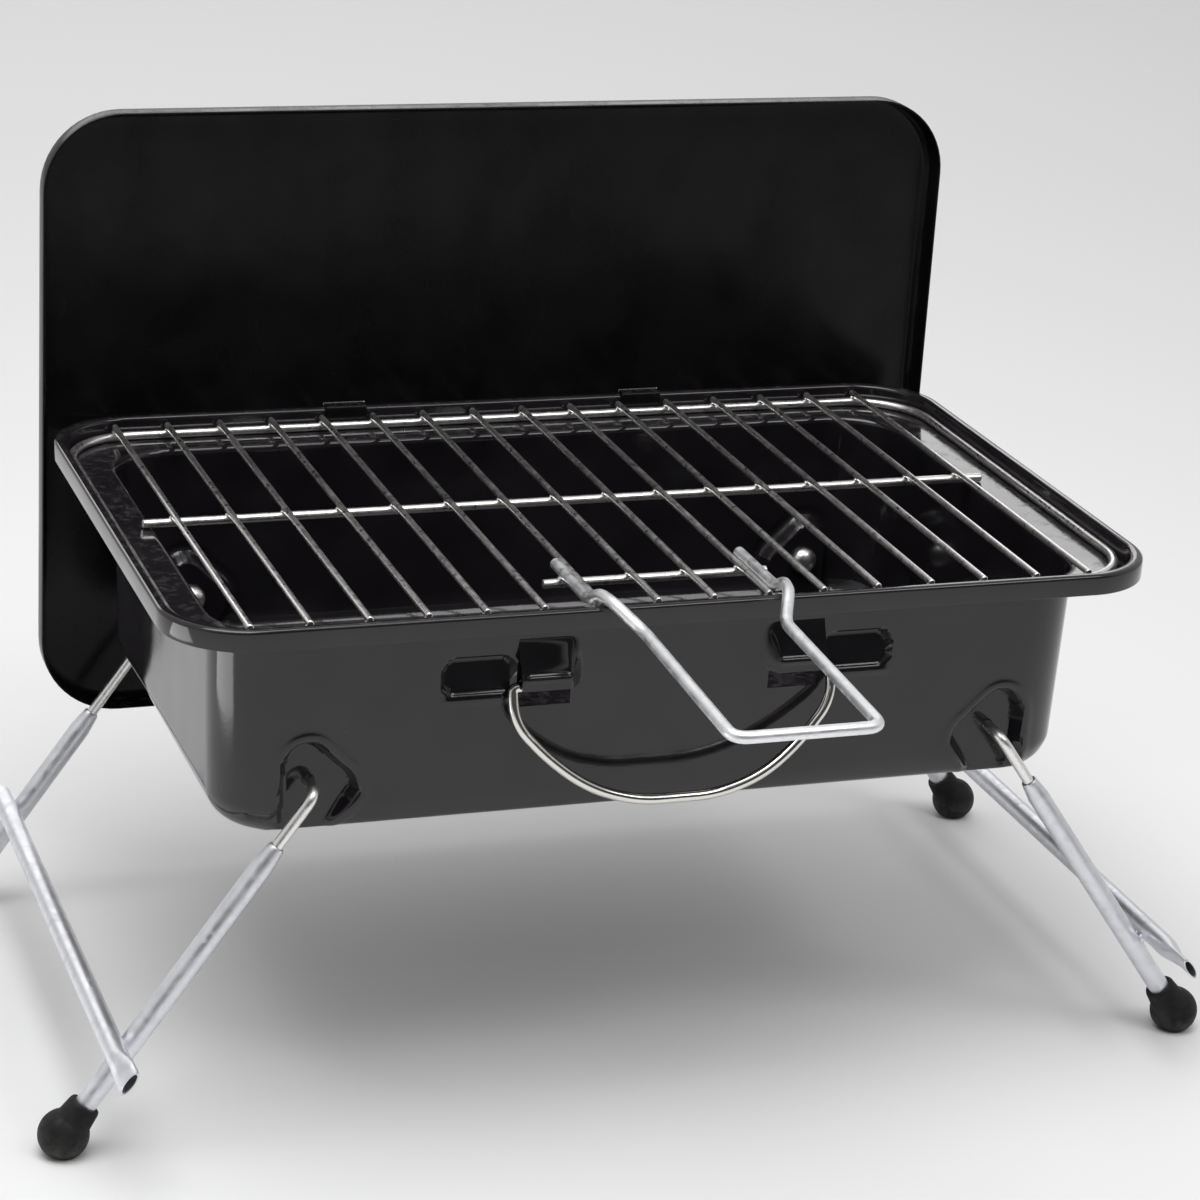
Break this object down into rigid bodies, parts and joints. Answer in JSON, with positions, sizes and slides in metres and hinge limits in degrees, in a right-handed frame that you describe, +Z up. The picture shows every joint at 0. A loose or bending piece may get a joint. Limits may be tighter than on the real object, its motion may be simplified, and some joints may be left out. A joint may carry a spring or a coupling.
{
  "type": "portable tabletop grill",
  "caption": "Portable tabletop charcoal grill: enamelled pressed pan, lift-out wire grate, hook-on lid, carrying bail and folding tube legs.",
  "frame": {"origin": "on the ground, under the middle of the whole object with the lid hung behind and the legs spread", "axes": "+X to the right of someone at the front, +Y from the front to the lid, +Z up"},
  "size_m": [0.5432, 0.4164, 0.3834],
  "materials": {
    "enamel": "gloss black vitreous enamel on pressed steel",
    "chrome": "chrome-plated steel wire",
    "zinc": "satin bright zinc plate",
    "rubber": "matt black moulded rubber"
  },
  "bodies": {
    "pan": {"firebox_pan": "enamel"},
    "lid": {"lid_shell": "enamel", "lid_hook_left": "enamel", "lid_hook_right": "enamel", "lid_rivet_left_1": "zinc", "lid_rivet_left_2": "zinc", "lid_rivet_right_1": "zinc", "lid_rivet_right_2": "zinc"},
    "grate": {"grate_frame": "chrome", "grate_wire_01": "chrome", "grate_wire_02": "chrome", "grate_wire_03": "chrome", "grate_wire_04": "chrome", "grate_wire_05": "chrome", "grate_wire_06": "chrome", "grate_wire_07": "chrome", "grate_wire_08": "chrome", "grate_wire_09": "chrome", "grate_wire_10": "chrome", "grate_wire_11": "chrome", "grate_wire_12": "chrome", "grate_wire_13": "chrome", "grate_wire_14": "chrome", "grate_wire_15": "chrome", "grate_wire_16": "chrome", "grate_centre_bar": "chrome", "grate_handle_bar": "chrome", "grate_handle": "zinc"},
    "bail": {"carry_handle": "chrome"},
    "left_legs": {"leg_wire_front_left": "chrome", "leg_tube_front_left": "zinc", "leg_foot_front_left": "rubber", "leg_cap_front_left": "chrome", "leg_wire_rear_left": "chrome", "leg_tube_rear_left": "zinc", "leg_foot_rear_left": "rubber", "leg_cap_rear_left": "chrome", "cross_rail_left": "zinc"},
    "right_legs": {"leg_wire_front_right": "chrome", "leg_tube_front_right": "zinc", "leg_foot_front_right": "rubber", "leg_cap_front_right": "chrome", "leg_wire_rear_right": "chrome", "leg_tube_rear_right": "zinc", "leg_foot_rear_right": "rubber", "leg_cap_rear_right": "chrome", "cross_rail_right": "zinc"}
  },
  "joints": [
    {"name": "lid_lift", "type": "slide", "parent": "pan", "child": "lid", "axis": [0, 0, 1], "range_m": [0, 0.12]},
    {"name": "grate_lift", "type": "slide", "parent": "pan", "child": "grate", "axis": [0, 0, 1], "range_m": [0, 0.16]},
    {"name": "carry_handle_swing", "type": "hinge", "parent": "pan", "child": "bail", "pos_m": [0, -0.06095, 0.19486], "axis": [-1, 0, 0], "range_deg": [0, 95]},
    {"name": "left_leg_fold", "type": "hinge", "parent": "pan", "child": "left_legs", "pos_m": [-0.156, 0.06035, 0.15536], "axis": [0, -1, 0], "range_deg": [0, 88]},
    {"name": "right_leg_fold", "type": "hinge", "parent": "pan", "child": "right_legs", "pos_m": [0.156, 0.06035, 0.15536], "axis": [0, 1, 0], "range_deg": [0, 88]}
  ]
}
